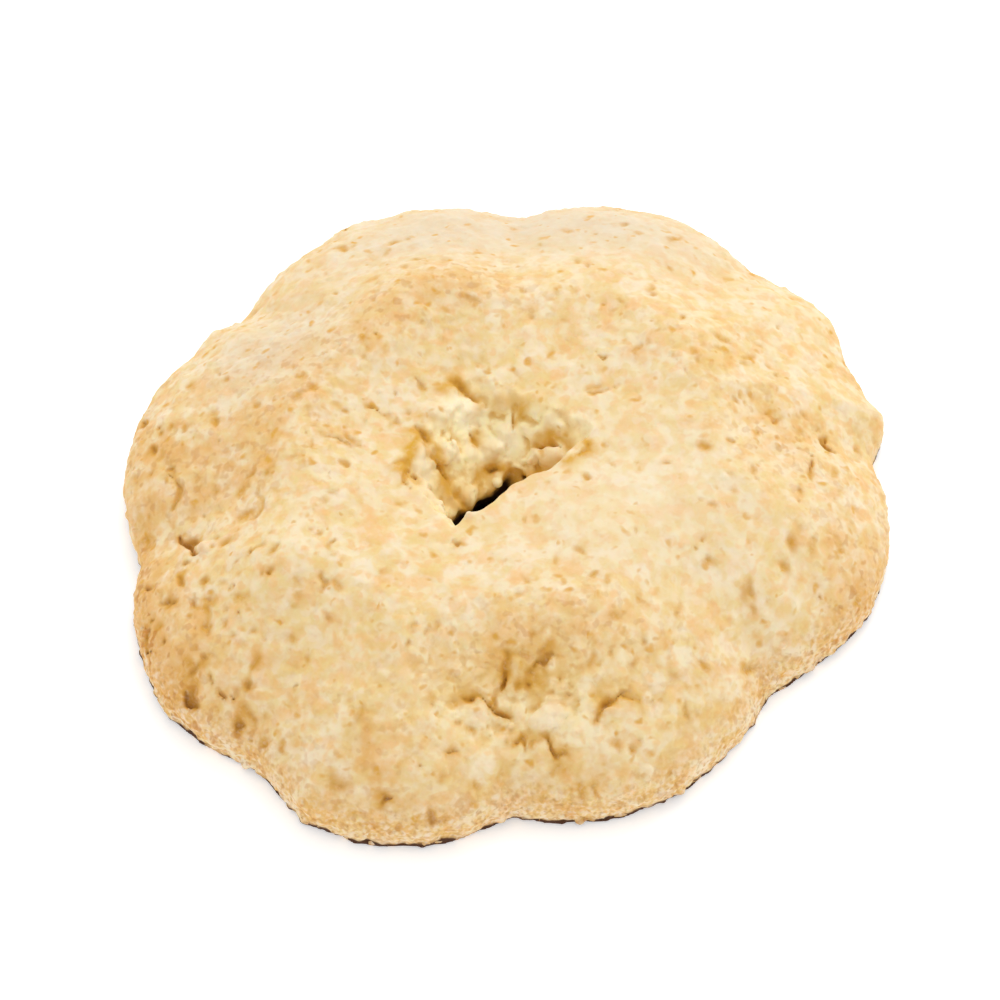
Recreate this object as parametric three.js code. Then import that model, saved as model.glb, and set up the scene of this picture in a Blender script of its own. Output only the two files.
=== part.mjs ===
// A round baked biscuit with eight soft lobes round its edge, a raised ring with a dent torn open
// in its middle, and a narrow slanting slot that goes right through at the bottom of that dent.
// Millimetres, +Z up. The origin is the middle of the flat underside.
import * as THREE from "three";
import { mergeVertices } from "three/addons/utils/BufferGeometryUtils.js";

// ---- outline seen from above -------------------------------------------------------------
// Each lobe is a circle: how far its middle lies from the biscuit's middle, its bearing in
// degrees (0 along +X, turning towards +Y), and its own radius.
const LOBES = [
  [19.52, 34.35, 17.26],
  [15.51, 57.77, 19.99],
  [12.37, 112.08, 21.51],
  [15.76, 168.8, 18.83],
  [19.53, 210.8, 16.13],
  [20.17, 244.28, 14.98],
  [12.65, 292.29, 19.2],
  [17.38, 353.6, 16.89],
];
const LOBE_BLEND = 2.38; // how crisply two lobes meet, per mm
const MEAN_RADIUS = 34;
// Small swellings and bites of the edge: bearing, height in mm, half width in degrees.
const NUBS = [
  [26.13, -1.81, 6.96],
  [14.6, 1.12, 3.82],
  [144.4, 0.86, 3.65],
  [240.82, 0.63, 2.69],
  [45.35, -1.47, 9.0],
  [333.18, -0.51, 6.04],
];

// ---- heights -----------------------------------------------------------------------------
const EQUATOR_Z = 2.4; // where the edge is widest
const FOOT_INSET = 0.2; // how far the flat underside starts inside the outline
const RIM_ROUND = 4.2; // width of the rounded shoulder of the edge
const RIM_H = 5.8;
const SKIRT_H = 8.8;
const CREST_H = 12.9;
const SHOULDER_H = 11.6;
const SKIRT_AT = [0, 8]; // distances in from the outline between which each height is reached
const CREST_AT = [5.0, 16.5];
const SHOULDER_AT = [15, 27];

// Grooves that run in from the notches between lobes: bearing, depth, length, half width.
const GROOVES = [
  [8, 0.5, 9, 2.2],
  [48, 0.5, 9, 2.4],
  [89, 1.3, 22, 2.8],
  [139, 0.8, 10, 2.6],
  [188, 1.5, 12, 2.6],
  [228, 0.8, 10, 2.4],
  [271, 1.0, 8, 2.4],
  [323, 1.0, 10, 2.6],
];

// Swells (+) and hollows (-) of the top: x, y, height, half length, half width, turn in degrees.
const SWELLS = [
  [5.0, -18.6, 1.0, 8.5, 4.0, 12],
  [-10.0, 16.0, 1.2, 9.0, 4.5, 35],
  [16.0, 12.5, 0.5, 8.0, 5.0, -35],
  [1.0, -23.6, -1.0, 6.5, 2.6, 4],
  [-25.5, -0.5, -0.7, 7.0, 4.0, 75],
  [22.5, -10.0, 1.2, 9.0, 5.5, 60],
  [-18.5, -12.0, 1.0, 7.0, 4.0, -50],
  [-9.5, 6.0, -0.9, 6.0, 4.5, 40],
];

// ---- the dent in the middle and the slot under it ------------------------------------------
const DENT_AT = [-1.6, 0.4];
// The dent's four walls: outward bearing, distance from the dent's middle, and slope.
const DENT_WALLS = [
  [-49.1, 4.3, 9.0],
  [63, 6.9, 0.8],
  [147, 6.2, 0.85],
  [215.5, 7.3, 1.8],
];
const DENT_CORNER = 0.6; // rounding of the dent's corners, mm
const DENT_FLOOR = 3.6; // no lower than this
const SLOT_AT = [-1.4, -2.2];
const SLOT_TURN = 43.5;
const SLOT_HALF = [4.4, 1.7];
const SLOT_FLARE = 1.3; // the slot is this much wider at the underside

// ---- mesh counts -----------------------------------------------------------------------------
const RAYS = 116;
const OUTLINE_STEPS = 720;

const rad = (deg) => (deg * Math.PI) / 180;
const clamp01 = (t) => Math.min(1, Math.max(0, t));
const ease = (a, b, v) => {
  const t = clamp01((v - a) / (b - a));
  return t * t * (3 - 2 * t);
};
const turnTo = (deg) => ((((deg + 180) % 360) + 360) % 360) - 180;
const softMin = (values, k) =>
  -k * Math.log(values.reduce((s, v) => s + Math.exp(-v / k), 0));

function outlineRadius(bearing) {
  let sum = 0;
  for (const [reach, at, size] of LOBES) {
    const a = rad(bearing - at);
    const across = reach * Math.sin(a);
    const left = size * size - across * across;
    const r = left > 0 && Math.cos(a) > 0 ? reach * Math.cos(a) + Math.sqrt(left) : 0;
    sum += Math.exp(LOBE_BLEND * (r - MEAN_RADIUS));
  }
  let radius = MEAN_RADIUS + Math.log(sum) / LOBE_BLEND;
  for (const [at, height, width] of NUBS)
    radius += height * Math.exp(-((turnTo(bearing - at) / width) ** 2));
  return radius;
}

// The outline as a closed polyline, moved so that its bounding box is centred on the origin.
const outline = [];
for (let i = 0; i < OUTLINE_STEPS; i++) {
  const bearing = (360 * i) / OUTLINE_STEPS;
  const r = outlineRadius(bearing);
  outline.push([r * Math.cos(rad(bearing)), r * Math.sin(rad(bearing))]);
}
const middle = [0, 1].map((k) => {
  const v = outline.map((p) => p[k]);
  return (Math.min(...v) + Math.max(...v)) / 2;
});
for (const p of outline) {
  p[0] -= middle[0];
  p[1] -= middle[1];
}

// Distance in from the outline.
function inset(x, y) {
  let best = Infinity;
  for (let i = 0; i < outline.length; i++) {
    const [ax, ay] = outline[i];
    const [bx, by] = outline[(i + 1) % outline.length];
    const dx = bx - ax, dy = by - ay;
    const t = clamp01(((x - ax) * dx + (y - ay) * dy) / (dx * dx + dy * dy));
    best = Math.min(best, Math.hypot(x - ax - t * dx, y - ay - t * dy));
  }
  return best;
}

// How far a ray from (x, y) along the bearing goes before it leaves the outline.
function reachOf(x, y, bearing) {
  const ux = Math.cos(rad(bearing)), uy = Math.sin(rad(bearing));
  let found = 0;
  for (let i = 0; i < outline.length; i++) {
    const [ax, ay] = outline[i];
    const [bx, by] = outline[(i + 1) % outline.length];
    const ex = bx - ax, ey = by - ay;
    const det = ex * uy - ey * ux;
    if (Math.abs(det) < 1e-9) continue;
    const t = (ex * (ay - y) - ey * (ax - x)) / det;
    const s = (ux * (ay - y) - uy * (ax - x)) / det;
    if (s >= 0 && s <= 1 && t > found) found = t;
  }
  return found;
}

function bodyHeight(x, y, d) {
  let z =
    RIM_H +
    (SKIRT_H - RIM_H) * ease(...SKIRT_AT, d) +
    (CREST_H - SKIRT_H) * ease(...CREST_AT, d) +
    (SHOULDER_H - CREST_H) * ease(...SHOULDER_AT, d);
  for (const [at, depth, length, width] of GROOVES) {
    const ux = Math.cos(rad(at)), uy = Math.sin(rad(at));
    const px = x + middle[0], py = y + middle[1];
    const along = outlineRadius(at) - (px * ux + py * uy);
    const side = px * uy - py * ux;
    const fade = clamp01(1 - Math.max(along, 0) / length) ** 1.5;
    if (px * ux + py * uy > 0) z -= depth * fade * Math.exp(-((side / width) ** 2));
  }
  for (const [sx, sy, height, length, width, turn] of SWELLS) {
    const c = Math.cos(rad(turn)), s = Math.sin(rad(turn));
    const u = ((x - sx) * c + (y - sy) * s) / length;
    const v = (-(x - sx) * s + (y - sy) * c) / width;
    z += height * Math.exp(-(u * u + v * v));
  }
  return z;
}

// Depth below the surrounding top inside the dent, 0 at its rim and negative outside.
function dentDepth(x, y) {
  return softMin(
    DENT_WALLS.map(([at, away, slope]) => {
      const n = (x - DENT_AT[0]) * Math.cos(rad(at)) + (y - DENT_AT[1]) * Math.sin(rad(at));
      return slope * (away - n);
    }),
    DENT_CORNER,
  );
}

function topHeight(x, y, d) {
  let z = bodyHeight(x, y, d);
  const depth = dentDepth(x, y);
  if (depth > 0) z = Math.max(DENT_FLOOR, z - depth);
  const t = clamp01(d / RIM_ROUND);
  return EQUATOR_Z + (z - EQUATOR_Z) * Math.sqrt(1 - (1 - t) ** 2);
}

const slotRadius = (bearing, grow) => {
  const a = rad(bearing - SLOT_TURN);
  return 1 / Math.hypot(Math.cos(a) / (SLOT_HALF[0] + grow), Math.sin(a) / (SLOT_HALF[1] + grow));
};

// How far the dent's rim lies from the slot's middle along a bearing.
function rimReach(bearing) {
  const ux = Math.cos(rad(bearing)), uy = Math.sin(rad(bearing));
  const walls = DENT_WALLS.map(([at, away]) => {
    const nx = Math.cos(rad(at)), ny = Math.sin(rad(at));
    const left = away - ((SLOT_AT[0] - DENT_AT[0]) * nx + (SLOT_AT[1] - DENT_AT[1]) * ny);
    const run = ux * nx + uy * ny;
    return run > 0.02 ? left / run : 60;
  });
  return softMin(walls, DENT_CORNER);
}

// ---- the solid: rings of points round the slot, joined into one closed surface -----------------
// Ways in from the outline at which the top has a ring of points.
const EDGE_STOPS = [8.5, 6.8, 5.3, 4.1, 3.0, 2.1, 1.3, 0.7, 0.3, 0.08];
const INNER_RINGS = 9;
const rings = [];
const ring = (f) => {
  const points = [];
  for (let j = 0; j < RAYS; j++) points.push(f((360 * j) / RAYS, j));
  rings.push(points);
};
const at = (bearing, r) => [
  SLOT_AT[0] + r * Math.cos(rad(bearing)),
  SLOT_AT[1] + r * Math.sin(rad(bearing)),
];
const reach = Array.from({ length: RAYS }, (_, j) => reachOf(...SLOT_AT, (360 * j) / RAYS));
const onTop = (bearing, r) => {
  const [x, y] = at(bearing, r);
  return [x, y, topHeight(x, y, inset(x, y))];
};
const rimAt = (b) => Math.max(rimReach(b), slotRadius(b, 0) + 0.5);

ring((b) => [...at(b, slotRadius(b, SLOT_FLARE)), 0]);
ring((b) => [...at(b, slotRadius(b, 0)), onTop(b, slotRadius(b, 0))[2] * 0.5]);
for (const t of [0, 0.33, 0.66])
  ring((b) => onTop(b, slotRadius(b, 0) + t * (rimAt(b) - slotRadius(b, 0))));
for (let k = 0; k < INNER_RINGS; k++) {
  const t = (k / INNER_RINGS) ** 0.95;
  ring((b, j) => onTop(b, rimAt(b) + 0.12 + t * (reach[j] - EDGE_STOPS[0] - rimAt(b))));
}
for (const stop of EDGE_STOPS) ring((b, j) => onTop(b, reach[j] - stop));
ring((b, j) => [...at(b, reach[j]), EQUATOR_Z]);
const FOOT_STOPS = [
  [FOOT_INSET * 0.12, EQUATOR_Z * 0.66],
  [FOOT_INSET * 0.5, EQUATOR_Z * 0.3],
  [FOOT_INSET, 0],
  [8, 0],
  [18, 0],
];
for (const [stop, z] of FOOT_STOPS) ring((b, j) => [...at(b, reach[j] - stop), z]);

function closedSurface() {
  const position = [], index = [];
  for (const points of rings) for (const p of points) position.push(...p);
  for (let k = 0; k < rings.length; k++) {
    const a = k * RAYS, b = ((k + 1) % rings.length) * RAYS;
    for (let j = 0; j < RAYS; j++) {
      const n = (j + 1) % RAYS;
      index.push(a + j, b + j, b + n, a + j, b + n, a + n);
    }
  }
  const geometry = new THREE.BufferGeometry();
  geometry.setAttribute("position", new THREE.Float32BufferAttribute(position, 3));
  geometry.setIndex(index);
  return mergeVertices(geometry, 1e-4);
}

const dough = new THREE.MeshStandardMaterial({ color: 0xf3d9ab, roughness: 0.85, metalness: 0 });
const biscuit = new THREE.Mesh(closedSurface(), dough);
biscuit.name = "biscuit";
biscuit.geometry.computeVertexNormals();

const part = new THREE.Group();
part.add(biscuit);
export default part;
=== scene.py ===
import math

import bpy
import numpy as np
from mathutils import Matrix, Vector


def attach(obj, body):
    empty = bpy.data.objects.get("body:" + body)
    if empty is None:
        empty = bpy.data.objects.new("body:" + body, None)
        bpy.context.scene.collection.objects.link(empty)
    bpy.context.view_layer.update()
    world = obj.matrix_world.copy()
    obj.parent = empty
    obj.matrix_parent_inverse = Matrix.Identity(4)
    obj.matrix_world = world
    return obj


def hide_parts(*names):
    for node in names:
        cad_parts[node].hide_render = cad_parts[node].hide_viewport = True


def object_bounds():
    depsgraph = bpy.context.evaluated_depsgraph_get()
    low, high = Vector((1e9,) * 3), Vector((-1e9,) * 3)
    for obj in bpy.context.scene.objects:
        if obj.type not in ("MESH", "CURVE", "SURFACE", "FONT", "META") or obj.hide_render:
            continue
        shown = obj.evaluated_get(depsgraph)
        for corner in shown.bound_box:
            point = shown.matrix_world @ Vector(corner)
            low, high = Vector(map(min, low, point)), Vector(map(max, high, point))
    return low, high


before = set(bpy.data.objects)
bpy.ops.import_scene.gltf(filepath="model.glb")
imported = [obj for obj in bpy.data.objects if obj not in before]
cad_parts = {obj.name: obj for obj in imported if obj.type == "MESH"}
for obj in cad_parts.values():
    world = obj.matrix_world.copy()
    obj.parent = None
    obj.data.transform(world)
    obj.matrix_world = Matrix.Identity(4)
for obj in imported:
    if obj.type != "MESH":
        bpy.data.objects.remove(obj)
cad_box = [list(v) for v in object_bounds()]

CELL = 0.2  # grid of the dough volume, mm
MOST_TRIANGLES = 197_000

# =====================================================================================
# Shape of the biscuit, in millimetres: the same named sizes as the solid it stands for
# =====================================================================================
LOBES = [
    (19.52, 34.35, 17.26),
    (15.51, 57.77, 19.99),
    (12.37, 112.08, 21.51),
    (15.76, 168.8, 18.83),
    (19.53, 210.8, 16.13),
    (20.17, 244.28, 14.98),
    (12.65, 292.29, 19.2),
    (17.38, 353.6, 16.89),
]
LOBE_BLEND = 2.38
MEAN_RADIUS = 34.0
NUBS = [
    (26.13, -1.81, 6.96),
    (14.6, 1.12, 3.82),
    (144.4, 0.86, 3.65),
    (240.82, 0.63, 2.69),
    (45.35, -1.47, 9.0),
    (333.18, -0.51, 6.04),
]
EQUATOR_Z = 2.4
FOOT_INSET = 0.2
RIM_ROUND = 4.2
RIM_H = 5.8
SKIRT_H = 8.8
CREST_H = 12.9
SHOULDER_H = 11.6
SKIRT_AT = (0, 8)
CREST_AT = (5.0, 16.5)
SHOULDER_AT = (15, 27)
GROOVES = [
    (8, 0.5, 9, 2.2),
    (48, 0.5, 9, 2.4),
    (89, 1.3, 22, 2.8),
    (139, 0.8, 10, 2.6),
    (188, 1.5, 12, 2.6),
    (228, 0.8, 10, 2.4),
    (271, 1.0, 8, 2.4),
    (323, 1.0, 10, 2.6),
]
SWELLS = [
    (5.0, -18.6, 1.0, 8.5, 4.0, 12),
    (-10.0, 16.0, 1.2, 9.0, 4.5, 35),
    (16.0, 12.5, 0.5, 8.0, 5.0, -35),
    (1.0, -23.6, -1.0, 6.5, 2.6, 4),
    (-25.5, -0.5, -0.7, 7.0, 4.0, 75),
    (22.5, -10.0, 1.2, 9.0, 5.5, 60),
    (-18.5, -12.0, 1.0, 7.0, 4.0, -50),
    (-9.5, 6.0, -0.9, 6.0, 4.5, 40),
]
DENT_AT = (-1.6, 0.4)
DENT_WALLS = [
    (-49.1, 4.3, 9.0),
    (63, 6.9, 0.8),
    (147, 6.2, 0.85),
    (215.5, 7.3, 1.8),
]
DENT_CORNER = 0.6
DENT_FLOOR = 3.6
SLOT_AT = (-1.4, -2.2)
SLOT_TURN = 43.5
SLOT_HALF = (4.4, 1.7)
SLOT_FLARE = 1.3


def ease(a, b, v):
    t = np.clip((v - a) / (b - a), 0, 1)
    return t * t * (3 - 2 * t)


def soft_min(values, k):
    low = np.minimum.reduce(values)
    return low - k * np.log(sum(np.exp(-(v - low) / k) for v in values))


def outline_radius(bearing):
    """Distance of the outline from the lobes' common middle, bearing in degrees."""
    bearing = np.asarray(bearing, float)
    total = 0
    for reach, at, size in LOBES:
        a = np.radians(bearing - at)
        across = reach * np.sin(a)
        left = size * size - across * across
        r = np.where(
            (left > 0) & (np.cos(a) > 0), reach * np.cos(a) + np.sqrt(np.maximum(left, 0)), 0
        )
        total = total + np.exp(LOBE_BLEND * (r - MEAN_RADIUS))
    radius = MEAN_RADIUS + np.log(total) / LOBE_BLEND
    for at, height, width in NUBS:
        turn = (bearing - at + 180) % 360 - 180
        radius = radius + height * np.exp(-((turn / width) ** 2))
    return radius


BEARINGS = np.arange(720) / 2.0
REACH = outline_radius(BEARINGS)
OUTLINE = np.stack(
    [REACH * np.cos(np.radians(BEARINGS)), REACH * np.sin(np.radians(BEARINGS))], -1
)
MIDDLE = (OUTLINE.min(0) + OUTLINE.max(0)) / 2
OUTLINE = OUTLINE - MIDDLE


def inset(x, y):
    """Distance in from the outline: positive inside, negative outside."""
    px, py = x.ravel(), y.ravel()
    best = np.full(len(px), 1e9)
    a = OUTLINE[::2]
    for (ax, ay), (bx, by) in zip(a, np.roll(a, -1, 0)):
        dx, dy = bx - ax, by - ay
        t = np.clip(((px - ax) * dx + (py - ay) * dy) / (dx * dx + dy * dy), 0, 1)
        best = np.minimum(best, (px - ax - t * dx) ** 2 + (py - ay - t * dy) ** 2)
    qx, qy = px + MIDDLE[0], py + MIDDLE[1]
    reach = np.interp(
        np.degrees(np.arctan2(qy, qx)) % 360, np.append(BEARINGS, 360.0), np.append(REACH, REACH[0])
    )
    return (np.sqrt(best) * np.where(np.hypot(qx, qy) < reach, 1, -1)).reshape(x.shape)


def body_height(x, y, d):
    z = (
        RIM_H
        + (SKIRT_H - RIM_H) * ease(*SKIRT_AT, d)
        + (CREST_H - SKIRT_H) * ease(*CREST_AT, d)
        + (SHOULDER_H - CREST_H) * ease(*SHOULDER_AT, d)
    )
    px, py = x + MIDDLE[0], y + MIDDLE[1]
    for at, depth, length, width in GROOVES:
        ux, uy = math.cos(math.radians(at)), math.sin(math.radians(at))
        out = px * ux + py * uy
        along = float(outline_radius(at)) - out
        side = px * uy - py * ux
        fade = np.clip(1 - np.maximum(along, 0) / length, 0, 1) ** 1.5
        z = z - np.where(out > 0, depth * fade * np.exp(-((side / width) ** 2)), 0)
    for sx, sy, height, length, width, turn in SWELLS:
        c, s = math.cos(math.radians(turn)), math.sin(math.radians(turn))
        u = ((x - sx) * c + (y - sy) * s) / length
        v = (-(x - sx) * s + (y - sy) * c) / width
        z = z + height * np.exp(-(u * u + v * v))
    return z


def dent_depth(x, y):
    return soft_min(
        [
            slope
            * (
                away
                - (x - DENT_AT[0]) * math.cos(math.radians(at))
                - (y - DENT_AT[1]) * math.sin(math.radians(at))
            )
            for at, away, slope in DENT_WALLS
        ],
        DENT_CORNER,
    )


def top_height(x, y, d, depth):
    z = body_height(x, y, d)
    z = np.where(depth > 0, np.maximum(DENT_FLOOR, z - depth), z)
    t = np.clip(d / RIM_ROUND, 0, 1)
    return EQUATOR_Z + (z - EQUATOR_Z) * np.sqrt(1 - (1 - t) ** 2)


# =====================================================================================
# The grid of the volume, and smooth noise on it
# =====================================================================================
LO = np.array([-36.4, -35.2, -0.9])
HI = np.array([36.4, 35.2, 15.6])
N = np.ceil((HI - LO) / CELL).astype(int) + 1
XS, YS, ZS = (LO[k] + CELL * np.arange(N[k]) for k in range(3))
gx, gy = np.meshgrid(XS, YS, indexing="ij")


def splines(places, size):
    """Weights that turn one value per knot into a smooth curve through places."""
    t = (places - places[0]) / size
    i = np.floor(t).astype(int)
    f = t - i
    out = np.zeros((len(places), i[-1] + 4))
    rows = np.arange(len(places))
    out[rows, i] = (1 - f) ** 3 / 6
    out[rows, i + 1] = (3 * f**3 - 6 * f**2 + 4) / 6
    out[rows, i + 2] = (-3 * f**3 + 3 * f**2 + 3 * f + 1) / 6
    out[rows, i + 3] = f**3 / 6
    return out.astype(np.float32)


def noise3(size, seed):
    """Smooth solid noise over the volume with lumps about twice size across, 1 rms."""
    wx, wy, wz = splines(XS, size), splines(YS, size), splines(ZS, size)
    rng = np.random.default_rng(seed)
    v = rng.uniform(-1, 1, (wx.shape[1], wy.shape[1], wz.shape[1])).astype(np.float32)
    v = np.tensordot(v, wz, (2, 1))  # x y Z
    v = np.tensordot(v, wy, (1, 1))  # x Z Y
    v = np.tensordot(v, wx, (0, 1))  # Z Y X
    v = v.transpose(2, 1, 0)
    return v / v.std()


def noise2(size, seed):
    wx, wy = splines(XS, size), splines(YS, size)
    rng = np.random.default_rng(seed)
    v = wx @ rng.uniform(-1, 1, (wx.shape[1], wy.shape[1])).astype(np.float32) @ wy.T
    return v / v.std()


def crumbs(p, size, seed):
    """For points in a pack of crumbs about size apart: how far the nearest crumb's middle is,
    how much farther the next one is (0 between two crumbs) and a number of its own."""
    q = ((p - LO + 2) / size).astype(np.float32)
    base = np.floor(q).astype(np.int32)
    rng = np.random.default_rng(seed)
    table = rng.uniform(0.08, 0.92, (*(base.max(0) + 3), 4)).astype(np.float32)
    first = np.full(len(q), 9.0, np.float32)
    second = first.copy()
    own = np.zeros(len(q), np.float32)
    for dx in (0, 1, 2):
        for dy in (0, 1, 2):
            for dz in (0, 1, 2):
                t = table[base[:, 0] + dx, base[:, 1] + dy, base[:, 2] + dz]
                away = base + np.array([dx - 1, dy - 1, dz - 1], np.int32) - q + t[:, :3]
                away = np.sqrt((away * away).sum(1))
                closer = away < first
                second = np.where(closer, first, np.minimum(second, away))
                own = np.where(closer, t[:, 3], own)
                first = np.minimum(first, away)
    return first * size, (second - first) * size, (own - 0.08) / 0.84


def lookup2(grid, x, y):
    i = np.clip((x - LO[0]) / CELL, 0, N[0] - 1.001)
    j = np.clip((y - LO[1]) / CELL, 0, N[1] - 1.001)
    i0, j0 = i.astype(int), j.astype(int)
    a, b = i - i0, j - j0
    return (
        grid[i0, j0] * (1 - a) * (1 - b)
        + grid[i0 + 1, j0] * a * (1 - b)
        + grid[i0, j0 + 1] * (1 - a) * b
        + grid[i0 + 1, j0 + 1] * a * b
    )


def lookup3(grid, p):
    q = np.clip((p - LO) / CELL, 0, N - 1.001)
    i = q.astype(int)
    f = q - i
    out = 0
    for dx in (0, 1):
        for dy in (0, 1):
            for dz in (0, 1):
                w = (
                    (f[:, 0] if dx else 1 - f[:, 0])
                    * (f[:, 1] if dy else 1 - f[:, 1])
                    * (f[:, 2] if dz else 1 - f[:, 2])
                )
                out = out + w * grid[i[:, 0] + dx, i[:, 1] + dy, i[:, 2] + dz]
    return out


# =====================================================================================
# The smooth body, with the lip of the dent and the slot a little ragged
# =====================================================================================
inset2 = inset(gx, gy)
ragged_x = gx + 0.12 * noise2(1.6, 31) + 0.07 * noise2(0.7, 32)
ragged_y = gy + 0.12 * noise2(1.6, 33) + 0.07 * noise2(0.7, 34)
turn_c, turn_s = math.cos(math.radians(SLOT_TURN)), math.sin(math.radians(SLOT_TURN))
lip_x, lip_y = math.cos(math.radians(DENT_WALLS[0][0])), math.sin(math.radians(DENT_WALLS[0][0]))
lip_in = DENT_WALLS[0][1] - (gx - DENT_AT[0]) * lip_x - (gy - DENT_AT[1]) * lip_y  # from the steep wall
lip_along = (gx - SLOT_AT[0]) * turn_c + (gy - SLOT_AT[1]) * turn_s
bow = (0.8 * np.exp(-(((lip_along - 5.2) / 2.0) ** 2)) - 0.3) * np.exp(-((lip_in / 2.0) ** 2))
ragged_x, ragged_y = ragged_x - bow * lip_x, ragged_y - bow * lip_y
dent2 = dent_depth(ragged_x, ragged_y)
top2 = top_height(gx, gy, inset2, dent2)
sx, sy = np.gradient(top2, CELL)
steep = np.sqrt(1 + np.minimum(sx * sx + sy * sy, 9))
above = (ZS[None, None, :] - top2[:, :, None]) / steep[:, :, None]
tuck = FOOT_INSET * np.clip(1 - ZS / EQUATOR_Z, 0, 1) ** 2
beside = tuck[None, None, :] - inset2[:, :, None]
smooth = np.maximum(above, 0.9 * beside).astype(np.float32)

slot_u = (ragged_x - SLOT_AT[0]) * turn_c + (ragged_y - SLOT_AT[1]) * turn_s
slot_v = -(ragged_x - SLOT_AT[0]) * turn_s + (ragged_y - SLOT_AT[1]) * turn_c
grow = SLOT_FLARE * np.clip(1 - ZS / 5.0, 0, 1)[None, None, :]
slot = SLOT_HALF[1] * (
    1 - np.hypot(slot_u[:, :, None] / (SLOT_HALF[0] + grow), slot_v[:, :, None] / (SLOT_HALF[1] + grow))
)
dough = smooth.copy()
wobble = noise3(0.8, 41)  # makes the edges of pores and lumps uneven


def block(p, r):
    """The part of the grid within r of p, as slices, and its points relative to p."""
    lo = np.maximum(np.floor((p - r - LO) / CELL).astype(int), 0)
    hi = np.minimum(np.ceil((p + r - LO) / CELL).astype(int) + 1, N)
    at = tuple(slice(a, b) for a, b in zip(lo, hi))
    rel = np.meshgrid(XS[at[0]] - p[0], YS[at[1]] - p[1], ZS[at[2]] - p[2], indexing="ij", sparse=True)
    return at, rel


def height_at(x, y):
    return float(lookup2(top2, np.array([x]), np.array([y]))[0])


def frame_at(x, y, turn):
    """A point on the smooth top with directions along, across and up from it."""
    e = 0.4
    g = np.array([
        (height_at(x + e, y) - height_at(x - e, y)) / (2 * e),
        (height_at(x, y + e) - height_at(x, y - e)) / (2 * e),
    ])
    if np.hypot(*g) > 2:
        g *= 2 / np.hypot(*g)
    up = np.array([-g[0], -g[1], 1.0])
    up /= np.linalg.norm(up)
    a = np.array([math.cos(math.radians(turn)), math.sin(math.radians(turn)), 0.0])
    a -= up * a.dot(up)
    a /= np.linalg.norm(a)
    return np.array([x, y, height_at(x, y)]), a, np.cross(up, a), up


def ellipsoid(p, axes, radii, uneven):
    at, rel = block(p, max(radii) + 1.0)
    q = 0
    for axis, r in zip(axes, radii):
        q = q + ((rel[0] * axis[0] + rel[1] * axis[1] + rel[2] * axis[2]) / r) ** 2
    return at, (np.sqrt(q) - 1) * min(radii) + uneven * wobble[at]


def add(p, axes, radii, soft=0.3, uneven=0.12):
    at, away = ellipsoid(p, axes, radii, uneven)
    dough[at] = -soft * np.logaddexp(-dough[at] / soft, -away / soft)


# =====================================================================================
# How rough the crust is: the torn dent, the hollow in front of the ring, the lower edge
# =====================================================================================
torn2 = ease(-1.0, 1.2, dent2)
hollow2 = np.exp(-(((gx - 1) / 9.5) ** 2 + ((gy + 23.2) / 4.2) ** 2))
calm2 = np.exp(-(((gx - 10) / 13) ** 2 + ((gy + 6) / 9) ** 2)) + np.exp(-(((gx - 6) / 15) ** 2 + ((gy - 25) / 6) ** 2))
front2 = 0.1 + 0.9 * ease(8, -20, gy)
edge3 = np.clip(1 - np.maximum(ZS[None, None, :] - 2.0, 0) / 3.6, 0, 1) * np.clip(1 - inset2 / 5.0, 0, 1)[:, :, None]
rough = (
    1.0
    + 0.25 * torn2[:, :, None]
    + 0.7 * hollow2[:, :, None]
    - 0.4 * np.clip(calm2, 0, 1)[:, :, None]
    + 0.5 * edge3 * front2[:, :, None]
).astype(np.float32)

# Coordinates bent a little, so that no pore or tear has a drawn outline
bent_x = gx + 0.12 * noise2(0.5, 141) + 0.20 * noise2(1.3, 142)
bent_y = gy + 0.12 * noise2(0.5, 143) + 0.20 * noise2(1.3, 144)
breadth = np.clip(1 + 0.35 * noise2(0.8, 145), 0.45, 1.7)
sunk2 = np.zeros(gx.shape)  # how deep the pores and tears go
pit2 = np.zeros(gx.shape)  # how golden they are inside


def window(x, y, r):
    """The part of the plan's grid within r of the points x, y."""
    i = np.searchsorted(XS, [np.min(x) - r, np.max(x) + r])
    j = np.searchsorted(YS, [np.min(y) - r, np.max(y) + r])
    return slice(*i), slice(*j)


def press(at, q, deep, dark):
    """Sink a hollow, given how far each place is from its middle (1 at its edge)."""
    sunk2[at] = np.maximum(sunk2[at], deep * ease(1.2, 0.1, q))
    pit2[at] = np.maximum(pit2[at], dark * np.exp(-((q / 0.95) ** 3)))


# Lumps of crumb that stand in the torn dent and round it: x, y, half sizes, turn, how far up
LUMPS = [
    (-3.6, 6.0, 0.9, 1.3, 10, 0.30),
    (-5.2, 1.7, 0.9, 1.2, -15, 0.30),
    (-7.4, 0.7, 0.9, 1.2, -20, 0.30),
    (-7.4, -2.5, 1.7, 1.0, -52, 0.30),
    (-5.6, -4.6, 1.0, 0.8, -50, 0.25),
    (0.3, 4.2, 1.9, 1.3, 20, 0.25),
    (3.6, 1.7, 1.8, 0.9, 35, 0.20),
    (-1.2, 2.9, 1.0, 0.9, 0, 0.20),
    (-6.0, 4.8, 1.1, 0.9, 30, 0.20),
    (9.2, -24.1, 1.3, 0.9, 10, 0.15),
    (-1.7, -24.2, 1.9, 0.8, -25, 0.15),
    (3.9, -24.6, 1.6, 0.8, 5, 0.15),
    (-26.6, -7.4, 0.9, 0.7, 20, 0.15),
]
for x, y, a, b, turn, up_by in LUMPS:
    p, u, v, w = frame_at(x, y, turn)
    add(p + w * (up_by - 0.75), (u, v, w), (a, b, 0.95))

# The slot is open all the way, whatever stands round it
slot_wall = slot + 0.14 * noise3(0.9, 53) * np.clip(ZS / 2.0, 0, 1)[None, None, :]

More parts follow.
